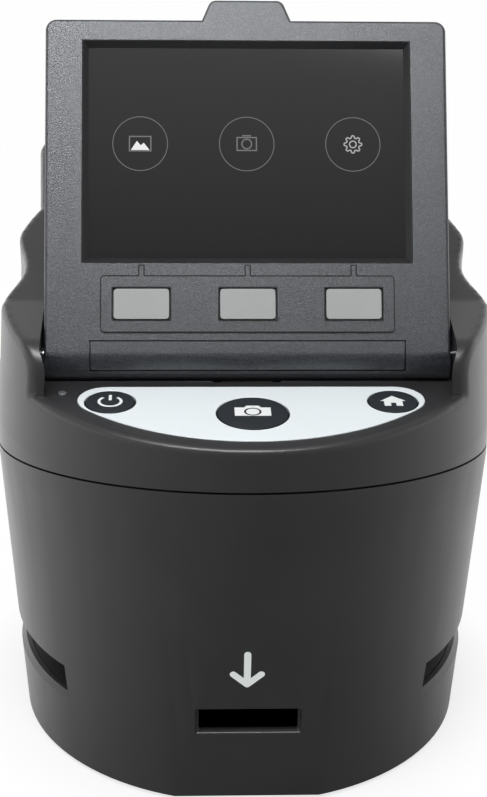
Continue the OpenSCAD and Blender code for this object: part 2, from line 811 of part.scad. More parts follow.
module button_board() color(board_colour) in_frame() difference() {
    intersection() {
        casing(wall + 2 * fit + lip_t);
        on_panel() translate([wall / 2 - well_w / 2, inlay_front - 1.3 - body_r, button_board_n])
            cube([well_w - wall, hinge_back - 15, board_t]);
    }
    column_bars(0.6);
    on_panel() at_each(button_bosses) translate([0, 0, -span / 2]) cylinder(r = small_screw + fit, h = span);
}

module button_switches() color(chip_colour) in_frame() on_panel() for (p = [capture_pos, power_pos, home_pos])
    translate([p[0], p[1], button_board_n + board_t]) {
        block(switch_w, switch_w, switch_h);
        cylinder(r = plunger_r, h = switch_h + plunger_h);
    }

module button_board_screws() color(steel_colour) in_frame() on_panel() for (p = button_bosses)
    translate([p[0], p[1], button_board_n - small_head_h]) {
        cylinder(r = small_head, h = small_head_h);
        cylinder(r = small_screw, h = board_t + 6);
    }

module panel_button(p, r) color("#33373c") in_frame() on_panel() translate([p[0], p[1], 0]) {
    under = panel_under - stop_gap;
    translate([0, 0, under]) cylinder(r = r, h = cap_top - under);
    translate([0, 0, under - flange_t]) cylinder(r = r + flange_w, h = flange_t);
    tip = button_board_n + board_t + switch_h + plunger_h + button_travel + press_gap;
    translate([0, 0, tip]) cylinder(r = plunger_r, h = under - flange_t - tip);
}

module power_button() panel_button(power_pos, side_r);
module capture_button() panel_button(capture_pos, capture_r);
module home_button() panel_button(home_pos, side_r);

// ---------------------------------------------------------------- main board and ports

module main_board() color(board_colour) in_frame() difference() {
    translate([-main_w / 2, main_front, main_z]) cube([main_w, main_back - main_front, board_t]);
    for (side = [-1, 1]) translate([side * (rear_columns[0] + 6), rear_columns[1] + 6, 0])
        block(2 * (column_r + 6.6), 2 * (column_r + 6.6), span);
    at_each(main_bosses) cylinder(r = screw_r + fit, h = span);
}

module processor() color(chip_colour) in_frame() translate([-8, 14, main_z + board_t]) block(16, 16, 1.4);
module memory_chip() color(chip_colour) in_frame() translate([14, 14, main_z + board_t]) block(12, 9, 1.1);
module ribbon_connector() color("#e4e0d0") in_frame()
    translate([0, main_front + 3, main_z + board_t]) block(ribbon_w + 3, 4, 2);

module main_board_screws() color(steel_colour) in_frame()
    at_each(main_bosses) translate([0, 0, main_z - head_h]) screw(head_h + board_t + 6);

module port_box(x, w, d, h, grow) translate([x, main_back + port_reach - d / 2, main_z + board_t - grow])
    block(w + 2 * grow, d + 2 * grow, h + 2 * grow);

module rear_ports(grow) translate([0, port_depth / 2, 0]) {
    port_box(usb_x, usb_w, port_depth, port_t, grow);
    port_box(tv_x, tv_w, port_depth, tv_t, grow);
    port_box(card_x, card_w, port_depth, port_t, grow);
}

// A metal socket open to the back, to a depth inside it
module socket(x, w, d, h, depth) difference() {
    port_box(x, w, d, h, 0);
    translate([x, main_back + port_reach, main_z + board_t + port_skin])
        block(w - 2 * port_skin, 2 * depth, h - 2 * port_skin);
}

module usb_port() color(steel_colour) in_frame() socket(usb_x, usb_w, port_depth, port_t, 5);
module tv_port() color(steel_colour) in_frame() socket(tv_x, tv_w, port_depth, tv_t, 5);
module card_socket() color(steel_colour) in_frame()
    socket(card_x, card_w, card_depth, port_t, card_depth - 4);

module body_ribbon() color("#d8d4c4") in_frame() across(ribbon_w) {
    top = hinge_z - barrel_r - 0.4;
    z = main_z + board_t + 2;
    polygon([
        [hinge_y, top], [hinge_y, z], [main_front + 5, z], [main_front + 5, z + ribbon_t],
        [hinge_y + ribbon_t, z + ribbon_t], [hinge_y + ribbon_t, top]
    ]);
}

module hinge_pins() color(steel_colour) in_frame() at_pins()
    translate([0, 0, -pin_reach]) cylinder(r = pin_r, h = pin_reach + pin_seat - 0.1);

// ---------------------------------------------------------------- lid

module lid_outline(inset) {
    half = lid_w / 2 - inset;
    top = lid_l - inset;
    r = max(lid_corner - inset, 0.3);
    translate([-half, 0]) square([2 * half, top - r]);
    translate([-half + r, 0]) square([2 * (half - r), top]);
    for (side = [-1, 1]) translate([side * (half - r), top - r]) circle(r);
}

module lid_form(inset) {
    translate([0, 0, inset - barrel_r]) linear_extrude(lid_t - 2 * inset) lid_outline(inset);
    rotate([0, 90, 0]) cylinder(r = barrel_r - inset, h = lid_w - 2 * inset, center = true);
}

// Skin of the lid, from its surface down to depth t
module lid_skin(t) difference() {
    lid_form(0);
    lid_form(t);
}

module strip_zone(grow) translate([-strip_w / 2 - grow, strip_bottom - grow, 0])
    cube([strip_w + 2 * grow, strip_top - strip_bottom + 2 * grow, barrel_r + over]);

module tab_outline() {
    lean = 23;
    r = 2;
    side = tab_w / 2 - (tab_h - r) * tan(lean) - r / cos(lean);
    polygon(concat(
        [[-tab_w / 2, lid_l - over], [-tab_w / 2, lid_l]],
        arc(-side, lid_l + tab_h - r, r, 180 - lean, 90, 6),
        arc(side, lid_l + tab_h - r, r, 90, lean, 6),
        [[tab_w / 2, lid_l], [tab_w / 2, lid_l - over]]
    ));
}

module key_places() for (i = [-1:1]) translate([i * key_pitch, key_mid, 0]) children();

module lid_front() color(lid_colour) on_lid() difference() {
    union() {
        difference() {
            intersection() {
                lid_form(0);
                translate([-span, -span, 0]) cube(2 * span);
            }
            lid_form(lid_wall);
        }
        translate([0, 0, notch_floor]) linear_extrude(face_n - notch_floor) tab_outline();
        translate([0, key_mid, plate_n]) linear_extrude(lid_wall + pad_rise)
            rounded(pad_w, pad_h, pad_corner);
        translate([0, 0, plate_n]) for (i = [-1:1])
            translate([i * key_pitch, key_mid + pad_h / 2 + 1, 0]) block(1.2, 3, lid_wall + pad_rise);
        at_each(lid_posts) cylinder(r = lid_post_r, h = plate_n + 0.5);
    }
    translate([0, screen_mid, 0]) block(screen_w + 2 * bevel_w, screen_h + 2 * bevel_w, span);
    key_places() block(key_w + 2 * key_gap, key_h + 2 * key_gap, span);
    difference() {
        strip_zone(fit / 2);
        lid_form(strip_t);
    }
    rotate([0, 90, 0]) cylinder(r = pin_r + 0.3, h = span, center = true);
    at_each(lid_posts) cylinder(r = small_pilot, h = plate_n - 0.5);
}

module lid_back() color(lid_colour) on_lid() difference() {
    union() {
        difference() {
            intersection() {
                lid_form(0);
                translate([-span, -span, -2 * span]) cube(2 * span);
            }
            lid_form(lid_wall);
        }
        at_each(lid_posts) translate([0, 0, -plate_n - 0.5]) cylinder(r = lid_post_r, h = plate_n + 0.5);
        for (side = [-1, 1]) translate([side * key_pitch / 2, key_mid, -plate_n - 0.5])
            cylinder(r = lid_post_r, h = plate_n + 0.5 - board_t);
    }
    at_each(lid_posts) translate([0, 0, -span / 2]) cylinder(r = small_hole, h = span);
    at_each(lid_posts) translate([0, 0, -face_n - over]) cylinder(r = 1.7, h = 1.6 + over);
    rotate([0, 90, 0]) cylinder(r = pin_r + 0.3, h = span, center = true);
    translate([0, 1 - barrel_r, -span / 2]) block(ribbon_w + ribbon_play, ribbon_play, span);
}

module lid_screws() color(steel_colour) on_lid() for (p = lid_posts) translate([p[0], p[1], -face_n + 0.4]) {
    cylinder(r = small_head, h = 1.2);
    cylinder(r = small_screw, h = face_n + 2.5);
}

module screen_bezel() color(black_colour) on_lid() translate([0, screen_mid, plate_n]) difference() {
    block(screen_w + 2 * bevel_w - fit / 2, screen_h + 2 * bevel_w - fit / 2, lid_wall);
    translate([0, 0, -0.01]) linear_extrude(lid_wall + 0.02, slices = 1, scale = [
        (screen_w + 2 * bevel_w - 0.4) / screen_w, (screen_h + 2 * bevel_w - 0.4) / screen_h
    ]) square([screen_w, screen_h], center = true);
}

module screen_glass() color(glass_colour) on_lid() translate([0, screen_mid, plate_n - glass_t])
    block(screen_w + 2 * glass_rim, screen_h + 2 * glass_rim, glass_t);

module lcd_panel() color(chip_colour) on_lid() translate([0, screen_mid, plate_n - glass_t - lcd_t])
    block(screen_w + 2 * bevel_w, screen_h + 2 * bevel_w, lcd_t);

module key_board() color(board_colour) on_lid() translate([0, key_mid, -board_t])
    block(pad_w + 2 * key_flange + 2, pad_h - 1.4, board_t);

module key_switches() color(chip_colour) on_lid() key_places() {
    block(key_switch[0], key_switch[1], key_switch[2]);
    cylinder(r = key_plunger_r, h = key_switch[2] + key_plunger_h);
}

module lid_key(i) color(key_colour) on_lid() translate([i * key_pitch, key_mid, 0]) {
    under = plate_n - stop_gap;
    tip = key_switch[2] + key_plunger_h + key_travel + press_gap;
    translate([0, 0, under]) linear_extrude(face_n + key_rise - under) rounded(key_w, key_h, pad_corner);
    translate([0, 0, under - key_flange_t])
        block(key_w + 2 * key_flange, key_h + 2 * key_flange, key_flange_t);
    translate([0, 0, tip]) cylinder(r = key_plunger_r, h = under - key_flange_t - tip);
}

module left_key() lid_key(-1);
module middle_key() lid_key(0);
module right_key() lid_key(1);

module hinge_strip() color(lid_colour) on_lid() intersection() {
    lid_skin(strip_t);
    strip_zone(-fit / 2);
}

module hinge_bushes() color("#8d8f93") on_lid() for (side = [-1, 1])
    translate([side * (lid_w / 2 - lid_wall - 0.1 - bush_l / 2), 0, 0]) rotate([0, 90, 0]) difference() {
        cylinder(r = bush_r, h = bush_l, center = true);
        cylinder(r = pin_r + pin_play, h = bush_l + 2 * over, center = true);
    }

module lid_ribbon() color("#d8d4c4") on_lid() translate([-ribbon_w / 2, -1, -board_t - ribbon_t])
    cube([ribbon_w, key_mid, ribbon_t]);

lower_shell();
base_plate();
rubber_feet();
base_screws();
tray_bed();
tray_screws();
aperture_plate();
aperture_screws();
backlight_board();
backlight_lamps();
light_box();
light_diffuser();
light_shaft();
lens_bracket();
bracket_screws();
lens_holder();
lens_barrel();
lens_glass();
sensor_board();
image_sensor();
sensor_screws();
sensor_ribbon();
upper_shell();
case_screws();
panel_inlay();
status_lens();
status_lamp();
button_board();
button_switches();
button_board_screws();
power_button();
capture_button();
home_button();
main_board();
processor();
memory_chip();
ribbon_connector();
main_board_screws();
usb_port();
tv_port();
card_socket();
hinge_pins();
body_ribbon();
lid_front();
lid_back();
lid_screws();
screen_bezel();
screen_glass();
lcd_panel();
key_board();
key_switches();
left_key();
middle_key();
right_key();
hinge_strip();
hinge_bushes();
lid_ribbon();
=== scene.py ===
import json
import math

import bmesh
import bpy
import numpy as np
from mathutils import Matrix, Vector
from mathutils.bvhtree import BVHTree


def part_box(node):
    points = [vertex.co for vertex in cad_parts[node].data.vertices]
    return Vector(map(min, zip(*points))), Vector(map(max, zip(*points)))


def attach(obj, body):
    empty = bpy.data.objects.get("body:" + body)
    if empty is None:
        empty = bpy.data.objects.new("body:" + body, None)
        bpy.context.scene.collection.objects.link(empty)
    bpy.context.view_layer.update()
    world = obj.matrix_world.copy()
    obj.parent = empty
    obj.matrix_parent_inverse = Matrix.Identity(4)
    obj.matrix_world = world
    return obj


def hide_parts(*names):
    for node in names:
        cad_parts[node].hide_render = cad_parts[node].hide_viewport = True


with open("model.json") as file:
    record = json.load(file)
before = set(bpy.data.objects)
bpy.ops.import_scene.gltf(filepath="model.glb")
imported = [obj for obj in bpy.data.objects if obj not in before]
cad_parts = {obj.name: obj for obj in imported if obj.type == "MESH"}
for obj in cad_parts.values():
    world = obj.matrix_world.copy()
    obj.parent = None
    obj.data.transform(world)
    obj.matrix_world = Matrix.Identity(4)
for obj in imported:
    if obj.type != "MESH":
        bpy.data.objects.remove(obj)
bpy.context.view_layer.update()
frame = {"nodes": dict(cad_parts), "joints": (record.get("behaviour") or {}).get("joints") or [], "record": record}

MM = 0.001
# Corners closer than JOIN are one, and heights that differ by less than LEVEL are the same
JOIN = 0.004 * MM
LEVEL = 0.02 * MM
NODES = frame["nodes"]

# Places that the looks are tied to, taken from the frame
JOINTS = {joint["name"]: joint for joint in frame["joints"]}
HINGE = Vector(JOINTS["lid_tilt"]["pos_m"])
PRESS_KEY = Vector(JOINTS["middle_key_press"]["axis"]).normalized()
PRESS_BUTTON = Vector(JOINTS["capture_button_press"]["axis"]).normalized()
ACROSS = Vector((1, 0, 0))


def place(origin, out):
    """Frame of a flat face: X across the scanner, Z out of the face."""
    up = out.cross(ACROSS).normalized()
    matrix = Matrix((ACROSS, up, out)).transposed().to_4x4()
    matrix.translation = origin
    return matrix


LID_INVERSE = place(HINGE, -PRESS_KEY).inverted()


def face_of(node, out):
    """Frame on top of a node: origin at the middle of its furthest face along out."""
    points = [v.co for v in NODES[node].data.vertices]
    reach = max(p.dot(out) for p in points)
    top = [p for p in points if p.dot(out) > reach - LEVEL]
    low = Vector([min(p[i] for p in top) for i in range(3)])
    high = Vector([max(p[i] for p in top) for i in range(3)])
    return place((low + high) / 2, out)


# Height of the lid's face over the hinge axis, the rounding of its outer edge, and how far
# the rounded form stays within the solid one
LID_FACE = 6.0 * MM
LID_ROUND = 0.8 * MM
EDGE_LOSS = 0.02 * MM


# ------------------------------------------------------------------ finishes

class Value:
    """A shader socket that takes part in arithmetic; each operator adds its Math node."""

    def __init__(self, finish, socket):
        self.finish = finish
        self.socket = socket

    def _math(self, operation, first, second):
        return self.finish.node("Math", [first, second], operation=operation)

    def __add__(self, other):
        return self._math("ADD", self, other)

    __radd__ = __add__

    def __sub__(self, other):
        return self._math("SUBTRACT", self, other)

    def __rsub__(self, other):
        return self._math("SUBTRACT", other, self)

    def __mul__(self, other):
        return self._math("MULTIPLY", self, other)

    __rmul__ = __mul__

    def __truediv__(self, other):
        return self._math("DIVIDE", self, other)


class Tree:
    """A node tree built one node at a time."""

    def __init__(self, tree):
        self.tree = tree
        self.tree.nodes.clear()

    def put(self, socket, value):
        if isinstance(value, Value):
            self.tree.links.new(value.socket, socket)
        else:
            socket.default_value = value

    def node(self, kind, values=(), out=0, stops=None, family="ShaderNode", **settings):
        """Adds a node: its settings first, then the values or links of its sockets."""
        made = self.tree.nodes.new(family + kind)
        for name, setting in settings.items():
            setattr(made, name, setting)
        if stops:
            ramp = made.color_ramp
            while len(ramp.elements) < len(stops):
                ramp.elements.new(0.5)
            for element, (position, level) in zip(ramp.elements, stops):
                element.position = position
                element.color = (level, level, level, 1)
        pairs = values.items() if isinstance(values, dict) else enumerate(values)
        for key, value in pairs:
            self.put(made.inputs[key], value)
        return Value(self, made.outputs[out]) if made.outputs else made

    def ramp(self, value, *stops):
        return self.node("ValToRGB", [value], stops=stops)


class Finish(Tree):
    """A material built from nodes around one Principled shader."""

    def __init__(self, name):
        self.material = bpy.data.materials.new(name)
        self.material.use_nodes = True
        super().__init__(self.material.node_tree)
        self.shader = self.tree.nodes.new("ShaderNodeBsdfPrincipled")
        self.out = self.tree.nodes.new("ShaderNodeOutputMaterial")
        self.tree.links.new(self.shader.outputs[0], self.out.inputs["Surface"])
        self.place = self.node("TexCoord", out="Object")

    def noise(self, size, detail=2.0, rough=0.5):
        """Cloudy noise whose lumps measure about size metres."""
        values = {"Vector": self.place, "Scale": 1 / size, "Detail": detail, "Roughness": rough}
        return self.node("TexNoise", values, out=0)

    def blend(self, amount, first, second):
        """A colour between two others."""
        values = {0: amount, 6: first, 7: second}
        return self.node("Mix", values, out=2, data_type="RGBA")

    def bump(self, height, depth, strength=1.0):
        values = {"Height": height, "Distance": depth, "Strength": strength}
        return self.node("Bump", values)

    def set(self, **sockets):
        for name, value in sockets.items():
            self.put(self.shader.inputs[name.replace("_", " ")], value)
        return self.material


def rgb(red, green, blue):
    return (red, green, blue, 1.0)


def grey(level):
    return rgb(level, level, level)


def moulded(name, dark, light, rough, grain, depth, gloss=0.5):
    """Moulded plastic: a fine eroded texture, faint flow marks and a slightly uneven gloss."""
    f = Finish(name)
    fine = f.noise(grain, detail=3, rough=0.6)
    clouds = f.noise(18 * MM, detail=3)
    shade = f.ramp(fine * 0.55 + clouds * 0.45, (0.3, 0), (0.7, 1))
    return f.set(
        Base_Color=f.blend(shade, dark, light),
        Roughness=rough + (clouds - 0.5) * 0.1 + (fine - 0.5) * 0.08,
        Specular_IOR_Level=gloss,
        Normal=f.bump(fine, depth),
    )


def sparkling(name, dark, light, rough, grain, depth):
    """Spray-grained plastic: small bright and dark specks close together."""
    f = Finish(name)
    specks = f.noise(grain, detail=2, rough=0.75)
    coarse = f.noise(grain * 3.2, detail=2)
    mottle = f.ramp(specks * 0.85 + coarse * 0.15, (0.43, 0), (0.50, 0.25), (0.57, 1))
    return f.set(
        Base_Color=f.blend(mottle, dark, light),
        Roughness=rough - (specks - 0.5) * 0.35,
        Specular_IOR_Level=1.0,
        Specular_Tint=rgb(0.95, 0.97, 1.0),
        Normal=f.bump(specks * 0.85 + coarse * 0.15, depth),
    )


def polished(name, colour, other, rough, haze=40 * MM, coat=0.0):
    """Smooth sheet or cap with faint haze and fine rubbing marks."""
    f = Finish(name)
    clouds = f.noise(haze, detail=4)
    marks = f.noise(0.5 * MM, detail=2)
    return f.set(
        Base_Color=f.blend(clouds, colour, other),
        Roughness=rough + (clouds - 0.5) * 0.06 + (marks - 0.5) * 0.04,
        Coat_Weight=coat,
        Coat_Roughness=0.05,
        Normal=f.bump(marks, 0.002 * MM),
    )


def metal(name, dark, light, rough, streak):
    """Turned or plated steel with fine streaks across its length."""
    f = Finish(name)
    stretched = f.node("Mapping", {"Vector": f.place, "Scale": (1, 1, streak)})
    values = {"Vector": stretched, "Scale": 1 / (0.4 * MM), "Detail": 3.0}
    lines = f.node("TexNoise", values)
    return f.set(
        Base_Color=f.blend(lines, dark, light),
        Metallic=1.0,
        Roughness=rough + (lines - 0.5) * 0.2,
        Normal=f.bump(lines, 0.003 * MM),
    )


def circuit_board(name):
    f = Finish(name)
    weave = f.node("TexWave", {"Vector": f.place, "Scale": 1 / (1.3 * MM), "Distortion": 0.4})
    patches = f.noise(6 * MM, detail=1)
    tracks = f.ramp(patches, (0.47, 0), (0.5, 1), (0.53, 0))
    return f.set(
        Base_Color=f.blend(tracks, rgb(0.012, 0.09, 0.04), rgb(0.03, 0.19, 0.09)),
        Roughness=0.35 + weave * 0.1,
        Normal=f.bump(tracks * 0.6 + weave * 0.2, 0.03 * MM),
    )


def coated_glass(name):
    f = Finish(name)
    clouds = f.noise(3 * MM, detail=1)
    return f.set(
        Base_Color=f.blend(clouds, rgb(0.02, 0.05, 0.09), rgb(0.06, 0.03, 0.09)),
        Roughness=0.03 + clouds * 0.03,
        Coat_Weight=1.0,
        Coat_Roughness=0.02,
    )


def display_sheet_painted_light(name):
    """Cover of the display: dark, with painted light that makes it a little lighter and faintly glowing towards
    its top edge.
    """
    f = Finish(name)
    height = f.node("SeparateXYZ", [f.place], out=2)
    low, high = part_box("screen_glass")
    rise = (height - low.z) / (high.z - low.z)
    clouds = f.noise(25 * MM, detail=2)
    return f.set(
        # Painted light: colour and glow grow lighter with height, standing in for how the light falls on the glass
        Base_Color=f.blend(rise, rgb(0.018, 0.018, 0.019), rgb(0.027, 0.027, 0.028)),
        Roughness=0.07 + (clouds - 0.5) * 0.02,
        Specular_IOR_Level=0.22,
        Emission_Color=f.blend(rise, rgb(0.002, 0.002, 0.0021), rgb(0.012, 0.012, 0.0122)),
        Emission_Strength=1.0,
    )


def glowing(name, level):
    """Lit part of the display."""
    f = Finish(name)
    dots = f.noise(0.3 * MM, detail=1)
    return f.set(
        Base_Color=f.blend(dots, grey(0.02), grey(0.03)),
        Roughness=0.5 + dots * 0.05,
        Specular_IOR_Level=0.1,
        Emission_Color=f.blend(dots, grey(level), grey(level * 0.9)),
        Emission_Strength=1.0,
    )


FINISHES = {
    "casing_plastic": moulded("charcoal_satin", rgb(0.0195, 0.0195, 0.021), rgb(0.0275, 0.0275, 0.029),
                              0.36, 0.16 * MM, 0.010 * MM, gloss=0.68),
    "lid_plastic": sparkling("grained_blue_grey", rgb(0.0, 0.0, 0.001), rgb(0.040, 0.044, 0.053),
                             0.35, 0.25 * MM, 0.08 * MM),
    "panel_white": polished("white_sheet", rgb(0.75, 0.80, 0.82), rgb(0.79, 0.84, 0.86), 0.22),
    "button_slate": moulded("slate_satin", rgb(0.018, 0.022, 0.026), rgb(0.025, 0.029, 0.034),
                            0.42, 0.2 * MM, 0.006 * MM, gloss=0.26),
    "key_grey": moulded("light_grey_satin", rgb(0.295, 0.303, 0.303), rgb(0.335, 0.341, 0.341),
                        0.45, 0.2 * MM, 0.006 * MM),
    "black_plastic": moulded("matt_black", rgb(0.012, 0.012, 0.0135), rgb(0.021, 0.021, 0.0225),
                             0.5, 0.2 * MM, 0.01 * MM, gloss=0.5),
    "screen_cover": display_sheet_painted_light("display_sheet_painted_light"),
    "display": polished("dark_display", rgb(0.01, 0.01, 0.012), rgb(0.014, 0.014, 0.016), 0.3),
    "foot_rubber": moulded("foot_rubber", grey(0.012), grey(0.02),
                           0.8, 0.3 * MM, 0.02 * MM, gloss=0.2),
    "screw_steel": metal("plated_steel", rgb(0.45, 0.45, 0.47), rgb(0.62, 0.62, 0.64), 0.32, 0.2),
    "pin_steel": metal("ground_steel", rgb(0.55, 0.55, 0.57), rgb(0.75, 0.75, 0.77), 0.2, 0.15),
    "bush_steel": metal("oiled_steel", rgb(0.3, 0.3, 0.31), rgb(0.42, 0.42, 0.44), 0.35, 0.3),
    "board_green": circuit_board("circuit_board"),
    "chip_black": moulded("moulded_chip", rgb(0.01, 0.01, 0.011), rgb(0.02, 0.02, 0.021),
                          0.5, 0.1 * MM, 0.01 * MM),
    "lamp_white": polished("lamp_phosphor", rgb(0.82, 0.78, 0.55), rgb(0.88, 0.84, 0.62), 0.4),
    "opal_white": polished("opal_acrylic", rgb(0.82, 0.82, 0.8), rgb(0.87, 0.87, 0.85), 0.35),
    "lens_glass": coated_glass("coated_glass"),
    "smoked_lens": polished("smoked_clear", rgb(0.09, 0.094, 0.098), rgb(0.13, 0.135, 0.14), 0.12,
                            coat=0.8),
    "port_steel": metal("tinned_steel", rgb(0.48, 0.49, 0.5), rgb(0.66, 0.67, 0.69), 0.28, 0.5),
    "ribbon_film": polished("ribbon_film", rgb(0.62, 0.57, 0.42), rgb(0.68, 0.63, 0.48), 0.3),
}
# Dark finish for painted shade: the line round the key field and the crosses on the screw heads
RECESS_SHADE = moulded("recess_shade", grey(0.01), grey(0.02), 0.6, 0.2 * MM, 0.01 * MM, gloss=0.2)
SIGN_WHITE = polished("sign_ink", rgb(0.78, 0.80, 0.80), rgb(0.84, 0.86, 0.86), 0.4)
ARROW_GREY = polished("arrow_ink", rgb(0.76, 0.80, 0.79), rgb(0.82, 0.86, 0.85), 0.45)
DIM_LINE = glowing("display_dim_line", 0.16)
BRIGHT_LINE = glowing("display_bright_line", 0.42)
FULL_LIGHT = glowing("display_white", 0.85)

NODE_SLOT = {row["node"]: row["material_slot"] for row in frame["record"]["subparts"]}
NODE_BODY = {n: body for body, group in frame["record"]["behaviour"]["bodies"].items() for n in group}
for node_name, node_object in NODES.items():
    node_object.data.materials.clear()
    node_object.data.materials.append(FINISHES[NODE_SLOT[node_name]])


# ------------------------------------------------------------------ making pieces

def piece(name, mesh, material, body):
    made = bpy.data.objects.new(name, mesh)
    bpy.context.scene.collection.objects.link(made)
    mesh.materials.clear()
    mesh.materials.append(material)
    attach(made, body)
    return made


def applied(mesh, name, *modifiers):
    """The mesh after its modifiers, as a plain mesh."""
    carrier = bpy.data.objects.new(name + "_work", mesh)
    bpy.context.scene.collection.objects.link(carrier)
    for kind, settings in modifiers:
        modifier = carrier.modifiers.new(kind.lower(), kind)
        for key, value in settings.items():
            setattr(modifier, key, value)
    graph = bpy.context.evaluated_depsgraph_get()
    result = bpy.data.meshes.new_from_object(carrier.evaluated_get(graph))
    result.name = name
    bpy.data.objects.remove(carrier)
    return result


STEADY = {"keep_sharp": True, "weight": 100}
SHARP_ANGLE = math.radians(40)
SOFT_ANGLE = math.radians(28)


def shaded(mesh):
    """Smooth faces that break at sharp edges."""
    for polygon in mesh.polygons:
        polygon.use_smooth = True
    mesh.set_sharp_from_angle(angle=SHARP_ANGLE)
    return mesh


def stands_for(node, mesh):
    """The finished mesh in the place of a node of the frame."""
    slot = NODE_SLOT[node]
    made = piece(node + "_moulded", mesh, FINISHES[slot], NODE_BODY[node])
    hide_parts(node)


def merged(node, flat=0.0):
    """Copy of a node's mesh with its corners joined, and faces within flat degrees made one."""
    mesh = NODES[node].data.copy()
    work = bmesh.new()
    work.from_mesh(mesh)
    bmesh.ops.remove_doubles(work, verts=work.verts, dist=JOIN)
    bmesh.ops.dissolve_degenerate(work, dist=JOIN, edges=work.edges)
    if flat:
        bmesh.ops.dissolve_limit(work, angle_limit=math.radians(flat), verts=work.verts, edges=work.edges)
    work.to_mesh(mesh)
    work.free()
    if "custom_normal" in mesh.attributes:
        mesh.attributes.remove(mesh.attributes["custom_normal"])
    return mesh


def softened(node, width, only=None, segments=3, flat=0.6):
    """Stands for a node with its edges rounded to width.

    Edges that turn by less than SOFT_ANGLE stay as they are. Where only is given, a test on an
    edge's middle, it picks the edges, and these keep the full width wherever they meet.
    """
    mesh = merged(node, flat)
    work = bmesh.new()
    work.from_mesh(mesh)
    weight = work.edges.layers.float.new("bevel_weight_edge")
    for edge in work.edges:
        if len(edge.link_faces) == 2 and edge.calc_face_angle(0) >= SOFT_ANGLE:
            middle = (edge.verts[0].co + edge.verts[1].co) / 2
            edge[weight] = 1.0 if only is None or only(middle) else 0.0
    work.to_mesh(mesh)
    work.free()
    bevel = {
        "limit_method": "WEIGHT", "width": width, "segments": segments,
        "use_clamp_overlap": only is None, "loop_slide": False, "miter_outer": "MITER_ARC",
    }
    stands_for(node, applied(shaded(mesh), node, ("BEVEL", bevel), ("WEIGHTED_NORMAL", STEADY)))


def cut_to(mesh, name, form):
    """What of a mesh lies within a closed form."""
    cutter = bpy.data.objects.new(name + "_form", form)
    bpy.context.scene.collection.objects.link(cutter)
    cut = {"operation": "INTERSECT", "object": cutter, "solver": "MANIFOLD"}
    result = applied(mesh, name, ("BOOLEAN", cut))
    bpy.data.objects.remove(cutter)
    return result


# ------------------------------------------------------------------ the rounded upper casing

class Form:
    """Driving sizes of the upper casing's outside in millimetres, on the body axis at its lower edge."""

    axis_y, foot = -3.5, 1.0
    body_r, taper_z, taper = 60.0, 80.0, 0.063
    rear_y, rear_half, rear_splay, rear_corner = 67.0, 53.2, math.radians(3.7), 9.0
    hip_y, hip_z, hip_lean = 4.2, 70.5, math.radians(2)
    rim_z, panel_slope = 95.8, math.radians(3.8)
    hinge_y, hinge_z, deck_slope = -19.0, 98.3, math.radians(16.4)
    deck_lift, knee_back, ear_front, ear_top, ear_round = 6.5, 10.6, 13.5, 105.2, 6.0
    grip_r, grip_depth, grip_y, grip_h = 15.0, 4.5, 5.7, 18.0
    edge_round, rim_round, grip_round = 1.5, 1.2, 5.0
    inset, step = 0.05, 0.8
    low, high = (-62.0, -62.0, 50.0), (62.0, 69.0, 134.0)


def both(a, b, radius=0.0):
    """Field of what lies in two forms, with its outer corner rounded to a radius."""
    inner = np.minimum(np.maximum(a, b), -radius)
    return inner + np.hypot(np.maximum(a + radius, 0), np.maximum(b + radius, 0))


def deck_height(y):
    """Height of the deck at a distance behind the body axis."""
    slope = Form.deck_slope
    return Form.hinge_z + Form.deck_lift / math.cos(slope) + (y - Form.hinge_y) * math.tan(slope)


def casing_field(x, y, z):
    """Distance outside the rounded form, negative within it."""
    f = Form
    side = np.abs(x)
    body = np.hypot(x, y) - (f.body_r - f.taper * np.maximum(z - f.taper_z, 0))
    hips = np.hypot(x, y - f.hip_y) - (f.body_r - f.hip_y + (z - f.hip_z) * math.tan(f.hip_lean))
    flank = (side - f.rear_half + (f.rear_y - y) * math.tan(f.rear_splay)) * math.cos(f.rear_splay)
    rear = np.maximum(both(flank, y - f.rear_y, f.rear_corner), -y)
    around = np.minimum(np.minimum(body, hips), rear)

    grip_top = deck_height(f.grip_y)
    reach = math.sqrt((f.body_r - f.taper * (grip_top - f.taper_z)) ** 2 - f.grip_y ** 2)
    round_grip = np.hypot(side - (reach - f.grip_depth + f.grip_r), y - f.grip_y) - f.grip_r
    grip = np.maximum(round_grip, grip_top - f.grip_h - z)
    around = both(around, -grip, f.grip_round)

    rim = (z - f.rim_z - y * math.tan(f.panel_slope)) * math.cos(f.panel_slope)
    deck = (z - deck_height(y)) * math.cos(f.deck_slope)
    ear_y = f.hinge_y - f.ear_front
    knee_y = f.hinge_y + f.knee_back
    climb = (deck_height(knee_y) - f.ear_top) / (knee_y - ear_y - f.ear_round)
    ear = (z - f.ear_top - (y - ear_y - f.ear_round) * climb) / math.hypot(1, climb)
    raised = both(np.minimum(deck, ear), ear_y - y, f.ear_round)
    whole = np.minimum(both(around, rim, f.rim_round), both(around, raised, f.edge_round))
    return np.maximum(whole, f.low[2] + f.step * 1.5 - z) + f.inset


